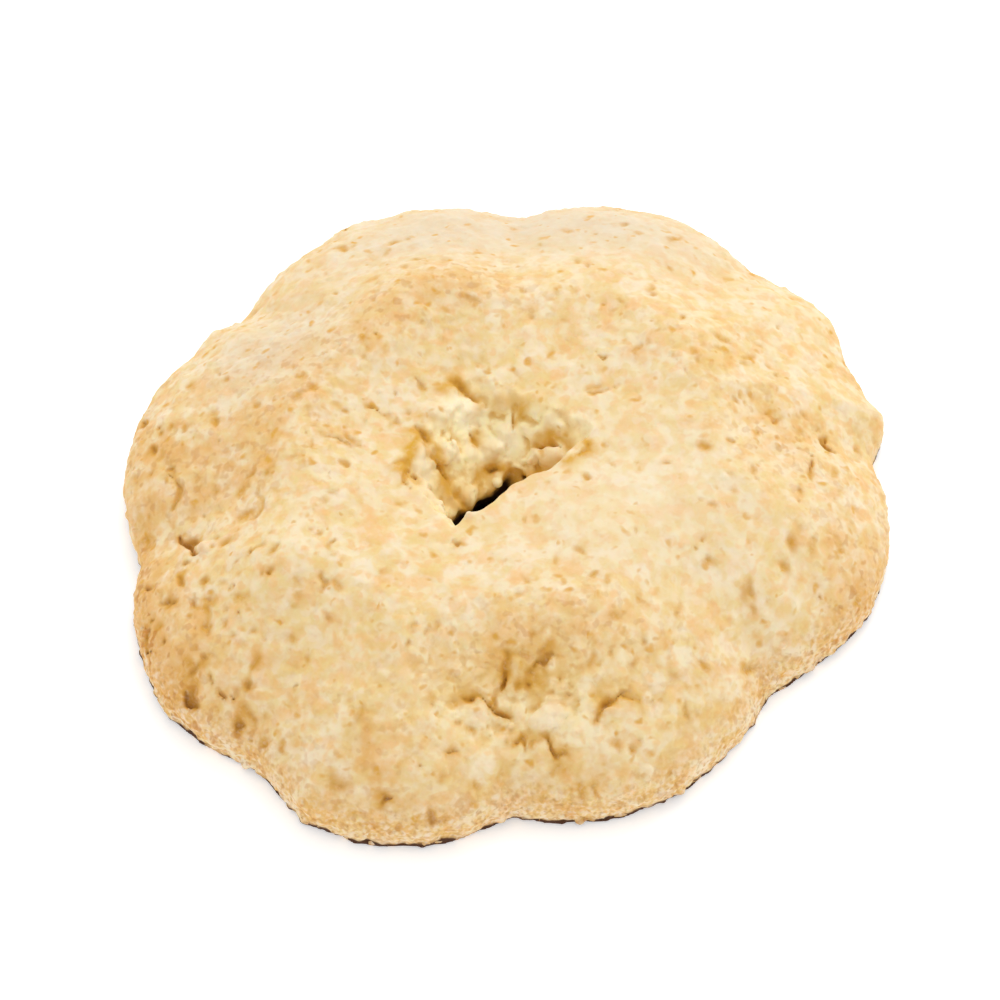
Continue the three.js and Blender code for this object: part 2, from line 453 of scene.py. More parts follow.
# The larger pores and short tears of the top: x, y, half length, half width, turn, depth
PORES = [
    (-13.3, 1.5, 0.73, 0.5, -23, 0.5), (-11.9, 4.9, 0.72, 0.32, -12, 0.6), (-10.6, 4.4, 0.75, 0.31, -35, 0.4),
    (8.0, 6.9, 0.72, 0.32, 6, 0.5), (12.3, 11.4, 0.54, 0.5, 0, 0.5), (-11.5, 11.7, 0.27, 0.24, 90, 1.2),
    (-7.1, 13.3, 0.53, 0.36, 90, 0.5), (-27.9, 10.4, 0.53, 0.36, 90, 0.6), (-30.0, 6.1, 0.64, 0.36, 90, 0.6),
    (-30.6, 5.3, 0.43, 0.36, 90, 0.5), (-22.1, 6.1, 0.48, 0.4, 45, 0.5), (-18.4, 5.8, 0.56, 0.5, -35, 0.7),
    (-18.3, 7.6, 0.62, 0.43, 0, 0.5), (-17.0, 6.6, 0.45, 0.43, 0, 0.5), (-13.7, 1.8, 1.3, 0.41, -29, 0.6),
    (-14.2, -1.2, 0.53, 0.45, 90, 0.6), (-20.8, -2.2, 0.54, 0.5, 0, 0.5), (-29.0, -0.2, 1.59, 0.36, 98, 0.6),
    (-22.5, -5.0, 0.81, 0.5, 12, 0.6), (-32.0, -2.2, 0.53, 0.36, 90, 0.8), (-27.7, -6.2, 1.1, 0.5, -45, 1.5),
    (-22.9, -13.9, 0.53, 0.36, 90, 0.8), (-25.8, -15.4, 0.63, 0.37, 73, 1.0), (-27.2, -15.5, 0.63, 0.37, 73, 0.8),
    (-29.5, -12.3, 0.45, 0.43, 0, 0.6), (-30.4, -14.1, 0.8, 0.43, 0, 0.6), (-32.0, -14.0, 0.73, 0.37, 73, 1.0),
    (-15.6, -13.4, 0.53, 0.45, 90, 0.5), (-14.5, -14.1, 0.53, 0.45, 90, 0.5), (-20.9, -12.6, 0.55, 0.42, -23, 0.5),
    (-18.2, -17.8, 0.75, 0.6, -35, 0.5), (-17.2, -20.1, 0.54, 0.5, 0, 0.6), (-27.0, -20.6, 1.02, 0.47, -64, 1.4),
    (-25.6, -19.9, 0.76, 0.4, -40, 0.9), (-24.7, -20.9, 0.43, 0.36, 90, 0.8), (-27.9, -18.3, 0.53, 0.36, 90, 0.7),
    (-22.2, -22.5, 1.26, 0.5, -45, 0.7), (-20.8, -25.0, 0.85, 0.36, 90, 0.6), (-6.3, -23.5, 0.54, 0.43, 0, 0.5),
    (-10.5, -31.1, 0.8, 0.6, 0, 0.8), (-14.4, -29.9, 0.75, 0.5, -35, 0.5), (0.0, -20.4, 0.56, 0.41, -35, 0.9),
    (2.5, -21.2, 0.54, 0.43, 0, 0.9), (0.1, -21.6, 0.54, 0.43, 0, 0.8), (2.2, -21.9, 0.32, 0.24, 90, 1.2),
    (1.4, -22.4, 0.64, 0.36, 90, 0.8), (3.9, -19.9, 1.01, 0.31, 23, 0.7), (9.9, -22.7, 0.72, 0.5, 12, 1.1),
    (8.5, -23.4, 1.0, 0.3, 55, 0.8), (-0.8, -23.0, 1.48, 0.41, -29, 0.9), (1.4, -25.6, 0.71, 0.6, 0, 0.8),
    (3.3, -25.9, 1.24, 0.37, 111, 0.8), (5.3, -27.1, 0.62, 0.43, 0, 0.8), (-4.6, -27.2, 0.81, 0.5, -12, 0.7),
    (16.7, -19.4, 0.54, 0.5, 0, 0.7), (14.4, -20.6, 0.62, 0.5, 0, 0.6), (17.6, -10.3, 0.53, 0.45, 90, 0.7),
    (9.7, -26.7, 0.8, 0.32, 0, 0.5), (19.9, 12.3, 0.82, 0.5, -23, 0.6), (20.0, 5.5, 0.54, 0.5, 0, 0.5),
    (22.9, 5.2, 0.98, 0.32, 0, 0.6), (28.6, 4.3, 0.48, 0.4, -45, 1.1), (27.2, 1.4, 0.56, 0.41, -35, 0.9),
    (29.2, 0.7, 0.74, 0.45, 90, 0.5), (31.5, 5.4, 0.53, 0.45, 90, 0.5), (19.5, 0.4, 0.45, 0.43, 0, 0.9),
    (17.5, 0.4, 0.54, 0.43, 0, 0.7), (21.5, -1.8, 0.85, 0.45, 82, 0.5), (17.0, -5.5, 0.36, 0.3, 0, 0.6),
    (29.0, -7.5, 0.53, 0.45, 90, 0.5), (24.8, -8.2, 0.64, 0.5, 90, 0.5), (23.9, -10.0, 0.74, 0.45, 90, 0.5),
    (21.2, -12.1, 0.64, 0.5, 90, 0.5), (22.8, -12.7, 0.36, 0.32, 0, 0.6), (31.0, -10.8, 0.53, 0.45, 90, 0.5),
]
for x, y, a, b, turn, deep in PORES:
    at = window(x, y, a + 1.2)
    c, s = math.cos(math.radians(turn)), math.sin(math.radians(turn))
    u = ((bent_x[at] - x) * c + (bent_y[at] - y) * s) / (0.85 * a)
    v = (-(bent_x[at] - x) * s + (bent_y[at] - y) * c) / (0.85 * b)
    press(at, np.hypot(u, v) / breadth[at], 0.28 * deep, min(1.0, 0.65 + 0.4 * deep))

# Tears and crevices: points on the way, half width, depth
TEARS = [
    ([(-3.9, -22.9), (-2.2, -23.3), (-0.9, -23.7), (0.4, -24.2)], 0.27, 0.5),
    ([(7.6, -25.2), (8.2, -24.1), (9.8, -23.2), (11.6, -23.3)], 0.30, 0.45),
    ([(0.5, -26.1), (1.3, -25.8), (2.0, -26.4)], 0.26, 0.45),
    ([(2.8, -25.7), (3.2, -26.4), (4.1, -27.3), (5.3, -27.5)], 0.28, 0.42),
    ([(-29.6, 0.8), (-28.8, -0.5), (-28.8, -1.5), (-29.3, -2.3)], 0.2, 0.35),
    ([(-28.8, -5.2), (-27.8, -6.9), (-27.0, -7.7)], 0.32, 0.9),
    ([(6.0, -0.4), (6.9, 0.2), (7.2, 1.2)], 0.2, 0.3),
    ([(-5.2, 8.0), (-4.0, 7.9), (-3.1, 7.3), (-2.5, 6.4)], 0.28, 0.3),
    ([(-16.2, 1.8), (-14.6, 1.7), (-13.1, 0.9)], 0.22, 0.3),
    ([(-12.5, 4.8), (-11.3, 4.8), (-10.1, 4.3)], 0.18, 0.3),
    ([(-21.5, -3.3), (-21.3, -4.7), (-21.9, -5.7), (-22.7, -5.9)], 0.2, 0.25),
    ([(-0.5, -20.8), (0.1, -21.5), (-0.2, -22.3)], 0.3, 0.6),
    ([(2.4, -21.1), (3.2, -20.6), (4.4, -20.2)], 0.2, 0.5),
    ([(-5.4, -27.5), (-4.6, -27.6), (-4.0, -27.7)], 0.24, 0.35),
    ([(-11.0, -31.4), (-10.5, -31.1), (-9.6, -31.2)], 0.28, 0.5),
    ([(-6.4, 1.2), (-6.2, 0.1), (-5.4, -0.6)], 0.28, 0.35),
    ([(-8.5, -1.3), (-9.2, -2.4), (-8.6, -3.2)], 0.24, 0.3),
    ([(-2.1, 1.7), (-1.2, 1.5), (-0.2, 1.3)], 0.24, 0.45),
    ([(-8.0, 3.2), (-7.4, 2.2), (-6.7, 1.9)], 0.28, 0.35),
    ([(2.9, 3.1), (3.9, 2.7), (4.8, 1.9)], 0.32, 0.55),
    ([(0.4, 5.8), (0.7, 5.2), (0.4, 4.6)], 0.26, 0.6),
    ([(-8.2, 8.6), (-7.6, 7.8), (-7.0, 7.0)], 0.2, 0.35),
    ([(-3.2, 4.2), (-2.8, 3.8), (-2.7, 3.2)], 0.26, 0.5),
    ([(-32.5, -13.0), (-32.1, -14.2), (-31.5, -15.7)], 0.22, 0.35),
    ([(-27.7, -19.5), (-27.2, -20.6), (-26.3, -21.4)], 0.28, 0.7),
    ([(26.8, 1.1), (27.1, 0.2), (27.2, -0.9)], 0.22, 0.4),
    ([(28.1, 4.4), (28.7, 3.7), (29.5, 3.4)], 0.24, 0.45),
    ([(8.0, 10.6), (8.5, 9.9), (9.3, 10.3)], 0.18, 0.25),
    ([(7.3, 6.4), (8.2, 6.2), (10.1, 6.7)], 0.18, 0.25),
    ([(-5.1, -9.4), (-4.6, -9.6), (-4.1, -9.5)], 0.22, 0.5),
    ([(-15.6, -13.5), (-15.2, -14.1), (-15.5, -14.6)], 0.2, 0.3),
]


def beside_line(way):
    """Where a bent line runs on the plan's grid: the part near it, the distance from it and how
    far along it each place is."""
    way = np.array(way)
    at = window(way[:, 0], way[:, 1], 2.0)
    qx, qy = bent_x[at], bent_y[at]
    far = np.append(0, np.cumsum(np.hypot(*np.diff(way, axis=0).T)))
    best, along = np.full(qx.shape, 9.0), np.zeros(qx.shape)
    for k in range(len(way) - 1):
        dx, dy = way[k + 1] - way[k]
        t = np.clip(((qx - way[k, 0]) * dx + (qy - way[k, 1]) * dy) / (dx * dx + dy * dy), 0, 1)
        away = np.hypot(qx - way[k, 0] - t * dx, qy - way[k, 1] - t * dy)
        along = np.where(away < best, (far[k] + t * (far[k + 1] - far[k])) / far[-1], along)
        best = np.minimum(best, away)
    return at, best, along


for way, half, deep in TEARS:
    at, best, along = beside_line(way)
    taper = 0.35 + 0.65 * np.sin(np.pi * (0.1 + 0.8 * along))
    press(at, best / (1.25 * half * taper * breadth[at]), 0.95 * deep * taper, min(1.0, 0.6 + 0.6 * deep))

# Golden streaks in the torn dent and the front hollow, where the crumb lies open, and one painted shadow along the lip
# over the slot: points, half width, how golden
STREAKS = [
    ([(-8.9, -1.6), (-8.5, 0.6), (-7.4, 2.6)], 0.55, 0.95),
    ([(-7.0, 2.6), (-5.9, 1.7), (-6.1, -0.4), (-5.2, -1.9)], 0.5, 1.0),
    ([(-5.8, -1.4), (-4.9, -2.2), (-4.0, -2.4)], 0.9, 0.9),
    ([(-2.3, 1.6), (-1.3, 1.7), (-0.1, 1.5)], 0.5, 1.0),
    ([(0.9, 5.1), (1.2, 5.6)], 0.5, 0.95),
    ([(-2.9, 3.6), (-2.7, 4.4)], 0.5, 0.8),
    ([(3.3, 3.5), (4.5, 2.8), (5.4, 2.3)], 0.55, 1.0),
    ([(5.4, -0.5), (6.5, -0.2), (7.2, 1.0), (7.0, 1.9)], 0.4, 0.95),
    ([(-5.6, 7.5), (-4.2, 8.0), (-3.1, 7.5), (-2.5, 6.5)], 0.5, 0.9),
    # Painted shadow of the lip, golden along its foot
    ([(0.9, 0.3), (2.4, 0.3), (3.8, 0.4), (5.0, 0.3)], 0.6, 0.85),
    ([(-0.9, 6.1), (-0.3, 6.6), (0.5, 6.5)], 0.35, 0.6),
    ([(-5.0, 3.9), (-4.2, 3.4), (-4.0, 2.6)], 0.35, 0.55),
    ([(2.2, 6.3), (3.0, 6.0)], 0.35, 0.5),
    ([(-8.3, 4.0), (-7.5, 4.5), (-6.6, 4.3)], 0.4, 0.6),
    ([(-8.6, 2.8), (-7.9, 2.4), (-7.2, 2.2)], 0.5, 0.85),
    ([(-9.4, -2.6), (-8.7, -2.2), (-7.6, -2.0)], 0.4, 0.7),
    ([(-3.9, -22.7), (-2.0, -23.2), (0.2, -24.0)], 0.55, 0.55),
    ([(8.3, -24.0), (9.8, -23.1), (11.6, -23.2)], 0.65, 0.75),
    ([(0.2, -25.9), (1.4, -25.6), (3.0, -25.7), (4.2, -27.0), (5.4, -27.3)], 0.5, 0.6),
    ([(-0.4, -20.7), (0.2, -21.4), (2.2, -21.6)], 0.65, 0.7),
]
gilt_and_shade2 = np.zeros(gx.shape)
for way, half, golden in STREAKS:
    at, best, along = beside_line(way)
    gilt_and_shade2[at] = np.maximum(gilt_and_shade2[at], golden * np.exp(-((best / (1.2 * half * breadth[at])) ** 2)))

# Small pores strewn over the top and sides, thick in some places and thin in others
rng = np.random.default_rng(71)
THICK = [  # x, y, radius, how many times the usual
    (-29, -3, 7, 2.2), (-27, -17, 7, 3.5), (-14, 4, 7, 2.0), (27, -9, 8, 2.0), (28, 6, 6, 1.5),
    (2, -22, 8, 2.5), (-8, 15, 8, 1.5), (18, 10, 8, 0.8), (-18, -12, 9, 0.8), (5, -29, 9, 2.0),
]
made = 0
while made < 310:
    x, y = rng.uniform(-34, 34), rng.uniform(-33, 33)
    d = float(lookup2(inset2, np.array([x]), np.array([y]))[0])
    level = rng.uniform(0, 4.5)
    dense = 0.35 + sum(k * math.exp(-((x - cx) ** 2 + (y - cy) ** 2) / r**2) for cx, cy, r, k in THICK)
    if d < 0.8 or level > dense:
        continue
    turn = rng.uniform(0, math.pi)
    a = rng.uniform(0.25, 0.45) * (1.8 if rng.uniform() < 0.25 else 1)
    b = rng.uniform(0.2, 0.32)
    at = window(x, y, a + 1.2)
    u = ((bent_x[at] - x) * math.cos(turn) + (bent_y[at] - y) * math.sin(turn)) / a
    v = (-(bent_x[at] - x) * math.sin(turn) + (bent_y[at] - y) * math.cos(turn)) / b
    press(at, np.hypot(u, v) / breadth[at], rng.uniform(0.06, 0.22), rng.uniform(0.4, 1.0))
    made += 1
# Where the rim is busy with golden pits that follow it: x, y, radius, how many, turn
BUSY = [(-27.5, -16.5, 5.0, 26, -50), (-30.5, -10.5, 3.0, 8, -75), (-22.0, -23.0, 3.5, 10, -40), (-30, 4, 3.5, 8, 80)]
for cx, cy, spread, count, turn in BUSY:
    for _ in range(count):
        x, y = cx + spread * rng.normal() * 0.6, cy + spread * rng.normal() * 0.6
        if float(lookup2(inset2, np.array([x]), np.array([y]))[0]) < 1.0:
            continue
        lean = math.radians(turn + 25 * rng.normal())
        a, b = rng.uniform(0.35, 0.65), rng.uniform(0.24, 0.36)
        at = window(x, y, a + 1.2)
        u = ((bent_x[at] - x) * math.cos(lean) + (bent_y[at] - y) * math.sin(lean)) / a
        v = (-(bent_x[at] - x) * math.sin(lean) + (bent_y[at] - y) * math.cos(lean)) / b
        press(at, np.hypot(u, v) / breadth[at], rng.uniform(0.2, 0.42), rng.uniform(0.8, 1.0))
dough += sunk2[:, :, None].astype(np.float32)

# The torn walls of the dent: rounded lumps of crumb with creases between them
warp = [0.25 * noise3(1.2, 54 + k) for k in range(3)]
crumb = 0.27 * (np.minimum(np.abs(noise3(1.15, 61)), 1.5) - 0.8) + 0.11 * (np.minimum(np.abs(noise3(0.6, 62)), 1.5) - 0.75)
crumbly = np.clip(torn2 * (0.2 + 0.8 * ease(0.3, 1.8, lip_in)) + 0.45 * hollow2 + 0.4 * pit2, 0, 1)
under_lip = body_height(gx, gy, inset2)[:, :, None] - ZS[None, None, :]
crumbly = np.maximum(crumbly[:, :, None], torn2[:, :, None] * ease(0.5, 2.2, under_lip)).astype(np.float32)
dough -= (crumb * crumbly).astype(np.float32)
dough = np.maximum(dough, slot_wall.astype(np.float32))

# The crust's own relief: undulations, grain and fine creases
relief = 0.045 * noise3(1.3, 3) + 0.030 * noise3(0.6, 4)
crease = np.abs(noise3(1.3, 6)) + 0.25 * np.abs(noise3(0.6, 7))
relief += 0.04 * np.exp(-((crease / 0.2) ** 2)) * np.clip(noise3(3.0, 8) + 0.2, 0, 1)
wave = 0.085 * noise3(3.2, 2)
dough += (wave + relief * rough).astype(np.float32)
near = np.argwhere((np.abs(smooth) < 0.7) & (ZS > 0.3)[None, None, :])
i, j, k = near.T
p = LO + CELL * near + np.stack([w[i, j, k] for w in warp], -1)
grit, gap, own = crumbs(p, 0.95, 55)
height = 0.10 * (ease(0, 0.45, gap) - 0.6) + 0.14 * (own - 0.5)
dough[i, j, k] -= height * np.clip(rough[i, j, k] - 0.2, 0.3, 1.7)

# Grains of crumb, sunk in the crust so that only their backs stand proud: thick along the
# lower edge, in the dent and in the hollow, thin elsewhere
rng = np.random.default_rng(91)
shell = np.argwhere(np.abs(dough) < 0.6 * CELL)
i, j, k = shell.T
chance = 0.006 + 0.5 * edge3[i, j, k] * front2[i, j] + 0.05 * torn2[i, j] + 0.08 * hollow2[i, j]
chance = chance * (ZS[k] > 0.5) * CELL**2 * 2.2
shell = shell[rng.uniform(size=len(shell)) < chance]
i, j, k = shell.T
slope = np.stack(
    [
        dough[np.minimum(i + 1, N[0] - 1), j, k] - dough[i - 1, j, k],
        dough[i, np.minimum(j + 1, N[1] - 1), k] - dough[i, j - 1, k],
        dough[i, j, np.minimum(k + 1, N[2] - 1)] - dough[i, j, k - 1],
    ],
    -1,
)
slope /= np.maximum(np.linalg.norm(slope, axis=1), 1e-6)[:, None]
radius = rng.uniform(0.25, 0.5, len(shell))
proud = rng.uniform(0.04, 0.15, len(shell))
middles = LO + CELL * (shell + rng.uniform(-0.5, 0.5, shell.shape)) - slope * (radius - proud + dough[i, j, k])[:, None]
grains = np.full(dough.shape, 9.0, np.float32)
span = int(math.ceil(0.75 / CELL))
offsets = np.stack(np.meshgrid(*[np.arange(-span, span + 1)] * 3, indexing="ij"), -1).reshape(-1, 3)
nearest = np.round((middles - LO) / CELL).astype(int)
for o in offsets:
    at = nearest + o
    ok = ((at >= 0) & (at < N)).all(1)
    at = at[ok]
    away = np.linalg.norm(LO + CELL * at - middles[ok], axis=1) - radius[ok]
    np.minimum.at(grains, tuple(at.T), away.astype(np.float32))
dough = -0.04 * np.logaddexp(-dough / 0.04, -grains / 0.04)

# The lip over the slot is worn a little round, so that it has no knife edge
at = window(np.array([-9.0, 6.0]), np.array([-9.0, 7.0]), 0.5)
worn = np.exp(-((lip_in[at] / 1.0) ** 2)) * ease(9, 7, np.abs(lip_along[at]))
round_ = dough[at]
for _ in range(2):
    for axis in range(3):
        round_ = 0.5 * round_ + 0.25 * (np.roll(round_, 1, axis) + np.roll(round_, -1, axis))
dough[at] += ((round_ - dough[at]) * worn[:, :, None]).astype(np.float32)

# The flat underside, with its own shallow pores
under = -ZS[None, None, :] + 0.10 * np.clip(noise2(0.9, 21) - 0.6, 0, 2)[:, :, None] + 0.10 * np.clip(noise2(2.6, 22) - 1.0, 0, 1)[:, :, None]
dough = np.maximum(dough, under.astype(np.float32))


# =====================================================================================
# From the volume to a mesh
# =====================================================================================
def surface(f):
    """Points, quads of the surface where f changes sign, outward, with f below 0 inside."""
    inside = f < 0
    corners = [(dx, dy, dz) for dx in (0, 1) for dy in (0, 1) for dz in (0, 1)]
    nx, ny, nz = f.shape
    count = np.zeros((nx - 1, ny - 1, nz - 1), np.int8)
    for dx, dy, dz in corners:
        count += inside[dx : nx - 1 + dx, dy : ny - 1 + dy, dz : nz - 1 + dz]
    cells = np.argwhere((count > 0) & (count < 8))
    index = np.full(count.shape, -1, np.int64)
    index[tuple(cells.T)] = np.arange(len(cells))
    values = [f[cells[:, 0] + a, cells[:, 1] + b, cells[:, 2] + c] for a, b, c in corners]
    total = np.zeros((len(cells), 3))
    hits = np.zeros(len(cells))
    for i, a in enumerate(corners):
        for j, b in enumerate(corners):
            if i < j and sum(abs(p - q) for p, q in zip(a, b)) == 1:
                change = (values[i] < 0) != (values[j] < 0)
                t = np.where(change, values[i] / np.where(change, values[i] - values[j], 1), 0)
                for k in range(3):
                    total[:, k] += np.where(change, a[k] + t * (b[k] - a[k]), 0)
                hits += change
    points = LO + CELL * (cells + total / hits[:, None])
    quads = []
    for axis in range(3):
        lo = [slice(1, n - 1) for n in f.shape]
        hi = [slice(1, n - 1) for n in f.shape]
        lo[axis] = slice(0, f.shape[axis] - 1)
        hi[axis] = slice(1, f.shape[axis])
        first, second = inside[tuple(lo)], inside[tuple(hi)]
        u, v = [k for k in range(3) if k != axis]
        if axis == 1:
            u, v = v, u
        for flip, where_ in ((False, first & ~second), (True, ~first & second)):
            e = np.argwhere(where_)
            e = e + [0 if k == axis else 1 for k in range(3)]
            ring = []
            for du, dv in ((-1, -1), (0, -1), (0, 0), (-1, 0)):
                at = e.copy()
                at[:, u] += du
                at[:, v] += dv
                ring.append(index[at[:, 0], at[:, 1], at[:, 2]])
            quad = np.stack(ring, -1)
            quads.append(quad[:, ::-1] if flip else quad)
    return points, np.concatenate(quads)


def largest(points, quads):
    """Only the largest connected piece."""
    label = np.arange(len(points))
    while True:
        low = label[quads].min(1)
        new = label.copy()
        for k in range(4):
            np.minimum.at(new, quads[:, k], low)
        new = new[new]
        if (new == label).all():
            break
        label = new
    names, counts = np.unique(label, return_counts=True)
    keep = label == names[counts.argmax()]
    number = np.cumsum(keep) - 1
    return points[keep], number[quads[keep[quads[:, 0]]]]


def make_mesh(name, points, faces):
    mesh = bpy.data.meshes.new(name)
    mesh.vertices.add(len(points))
    mesh.vertices.foreach_set("co", (points / 1000.0).astype(np.float32).ravel())
    k = faces.shape[1]
    mesh.loops.add(faces.size)
    mesh.loops.foreach_set("vertex_index", faces.astype(np.int32).ravel())
    mesh.polygons.add(len(faces))
    mesh.polygons.foreach_set("loop_start", np.arange(0, faces.size, k, dtype=np.int32))
    mesh.polygons.foreach_set("loop_total", np.full(len(faces), k, np.int32))
    mesh.update(calc_edges=True)
    mesh.validate()
    return mesh


points, quads = largest(*surface(dough))

# Keep within the solid's own box
box_lo, box_hi = np.array(cad_box[0]) * 1000, np.array(cad_box[1]) * 1000
points[:, 2] = np.maximum(points[:, 2], 0)
for k in range(2):
    lo_now, hi_now = points[:, k].min(), points[:, k].max()
    shrink = min(1.0, (box_hi[k] - box_lo[k]) / (hi_now - lo_now))
    points[:, k] = (points[:, k] - (lo_now + hi_now) / 2) * shrink + (box_lo[k] + box_hi[k]) / 2
points[:, 2] *= min(1.0, box_hi[2] / points[:, 2].max())

draft = bpy.data.objects.new("draft", make_mesh("draft", points, quads))
bpy.context.scene.collection.objects.link(draft)
thin = draft.modifiers.new("thin", "DECIMATE")
thin.ratio = min(1.0, MOST_TRIANGLES / (2 * len(quads)))
bpy.context.view_layer.update()
fine = bpy.data.meshes.new_from_object(draft.evaluated_get(bpy.context.evaluated_depsgraph_get()))
bpy.data.objects.remove(draft)
fine.name = "crust"
crust = bpy.data.objects.new("crust", fine)
bpy.context.scene.collection.objects.link(crust)
fine.polygons.foreach_set("use_smooth", [True] * len(fine.polygons))
print("crust", len(quads), "quads, then", len(fine.polygons), "faces")

# =====================================================================================
# What the finish needs to know at each point
# =====================================================================================
n = len(fine.vertices)
co = np.zeros(n * 3, np.float32)
fine.vertices.foreach_get("co", co)
co = co.reshape(-1, 3).astype(float) * 1000
co[:, :2] = np.clip(co[:, :2], box_lo[:2] + 1e-3, box_hi[:2] - 1e-3)
co[:, 2] = np.clip(co[:, 2], 0, box_hi[2] - 1e-3)
fine.vertices.foreach_set("co", (co / 1000).astype(np.float32).ravel())
fine.update()
below = -lookup3(smooth + wave, co)  # how far under the smooth crust
d = lookup2(inset2, co[:, 0], co[:, 1])
x, y, z = co.T


def spot(cx, cy, length, width, turn):
    c, s = math.cos(math.radians(turn)), math.sin(math.radians(turn))
    u = ((x - cx) * c + (y - cy) * s) / length
    v = (-(x - cx) * s + (y - cy) * c) / width
    return np.exp(-(u * u + v * v))


# Browner: the ring's crest and parts of the edge, as the oven catches them. Toward the west and south-west the browning
# also stands for painted shade, that side being turned from the light
browning_and_shade = (
    0.75 * spot(-9, 15.5, 9, 3.6, 32)
    + 0.40 * spot(0, 17, 6, 3, -10)
    + 0.45 * spot(-18, 5, 4.5, 7, 10)
    + 0.35 * spot(16, 11, 10, 4, -30)
    + 0.65 * spot(4, -17.5, 10, 3.5, 8)
    + 0.45 * spot(1, -21.5, 8, 2.5, 0)
    + 0.75 * spot(31, -9, 4, 9, 20)
    + 0.90 * spot(-30, -15, 5, 8, 35)
    + 0.58 * spot(-31, 2, 4, 10, 0)
    + 0.65 * spot(-24, 0, 5, 7, 0)
    + 0.50 * spot(-12, -27, 9, 5, -20)
    + 0.60 * spot(23.5, 2.5, 6, 4.5, 0)
    + 0.25 * spot(-21, 13, 7, 5, 40)
    + 0.25 * spot(17, -20, 7, 5, 20)
)
# Paler and greyer: the far side, and the north-west flank. This is painted light: a painted sheen from the light behind
# them, and painted shade that keeps them from reading too bright
far_sheen_and_shade = (
    1.0 * spot(-6, 27, 11, 6, 12)
    + 0.9 * spot(11, 27, 11, 6, -12)
    + 0.8 * spot(-21, 13, 7, 5, 40)
    + 0.2 * spot(9, -5, 9, 6, 30)
)
# The whitest crumbs and the most golden hollows of the torn dent. The white spots are partly the crumb's own paleness
# and partly painted highlight where they catch the light, the broad one on the south-east plain most of all
white = (
    1.0 * spot(-3.7, 5.6, 1.5, 1.3, 0)
    + 0.7 * spot(-7.3, 0.4, 0.8, 1.1, 0)
    + 0.25 * spot(-8.0, -4.6, 2.4, 1.3, -45)
    + 0.5 * spot(-3.0, 8.9, 1.0, 0.5, 0)
    + 0.5 * spot(0.3, 3.0, 1.2, 0.8, 30)
    + 0.25 * spot(12, -5, 11, 8, 10)
)
# The patch at (1.8, 1.0), above the slot, is painted shade under the lip
gilt_and_shade = lookup2(gilt_and_shade2, x, y) + 0.5 * spot(1.8, 1.0, 1.8, 0.9, 10) + 0.3 * spot(-8.2, -0.3, 0.9, 2.4, 0)
around = np.degrees(np.arctan2(y, x)) % 360
# Browner near the edge by bearing; the weight to the west and south-west is partly painted shade
side_browning_and_shade = np.interp(around, [0, 40, 60, 120, 150, 180, 210, 250, 290, 330, 360], [0.5, 0.4, 0.1, 0.05, 0.3, 0.5, 0.7, 0.35, 0.25, 0.4, 0.5])
browning_and_shade = browning_and_shade + side_browning_and_shade * np.clip(1 - d / 3.0, 0, 1) * (z > 2)
torn = lookup2(torn2, x, y) * np.clip((z - 3.0) / 2.0, 0, 1)
hollow = lookup2(hollow2, x, y) * (z > 4)
pit = lookup2(pit2, x, y) * (z > 3) * np.clip(0.7 + below / 0.2, 0, 1)
su = (x - SLOT_AT[0]) * turn_c + (y - SLOT_AT[1]) * turn_s
sv = -(x - SLOT_AT[0]) * turn_s + (y - SLOT_AT[1]) * turn_c
in_slot = np.hypot(su / (SLOT_HALF[0] + 1.4), sv / (SLOT_HALF[1] + 1.4)) < 1
# Painted shade: the slot's walls below the crust are tinted near-black, standing for the shadow deep in the hole
painted_slot_shade = in_slot * ease(0.3, 0.9, below) * ease(0.1, 1.0, z) * ease(4.0, 3.2, su)
# The lowest rim of the edge is the brownest, where the dough met the hot tray; the same dark band is also painted
# contact shadow, heavier toward the front
level = z + 0.14 * lookup3(wobble, co) + 1.0 * lookup3(wave, co)
foot = ease(1.1, 0.45, level) * (d < 2.5) * (0.7 + 0.3 * ease(16, 2, y - 0.3 * x))


def attribute(name, values):
    layer = fine.attributes.new(name, "FLOAT", "POINT")
    layer.data.foreach_set("value", np.clip(values, -2, 2).astype(np.float32))


attribute("browning_and_shade", browning_and_shade)
attribute("far_sheen_and_shade", np.clip(far_sheen_and_shade, 0, 1))
attribute("white", np.clip(white, 0, 1))
attribute("gilt_and_shade", np.clip(gilt_and_shade, 0, 1))
attribute("edge", np.clip(1.2 - np.maximum(z - 1.5, 0) / 3.6, 0, 1) * np.clip(1.3 - d / 4.0, 0, 1) * (0.15 + 0.85 * ease(2, -16, y)))
attribute("torn", np.clip(torn + 0.5 * hollow, 0, 1))
attribute("below", below)
attribute("pit", pit)
# The "deep" attribute carries the painted shade of the slot
attribute("deep", painted_slot_shade)
attribute("foot", foot)
attribute("under", np.clip(1 - z / 0.5, 0, 1) * (d > 0.3))


# =====================================================================================
# Baked dough
# =====================================================================================
def srgb(r, g, b):
    def one(v):
        v /= 255
        return v / 12.92 if v <= 0.04045 else ((v + 0.055) / 1.055) ** 2.4

    return (one(r), one(g), one(b), 1)


material = bpy.data.materials.new("baked_dough")
material.use_nodes = True
nodes, links = material.node_tree.nodes, material.node_tree.links
bsdf = nodes["Principled BSDF"]


def put(socket, value):
    if hasattr(value, "is_output"):
        links.new(value, socket)
    else:
        socket.default_value = value


def math_(op, a, b=0.0, c=None, clamp=False):
    node = nodes.new("ShaderNodeMath")
    node.operation = op
    node.use_clamp = clamp
    put(node.inputs[0], a)
    put(node.inputs[1], b)
    if c is not None:
        put(node.inputs[2], c)
    return node.outputs[0]


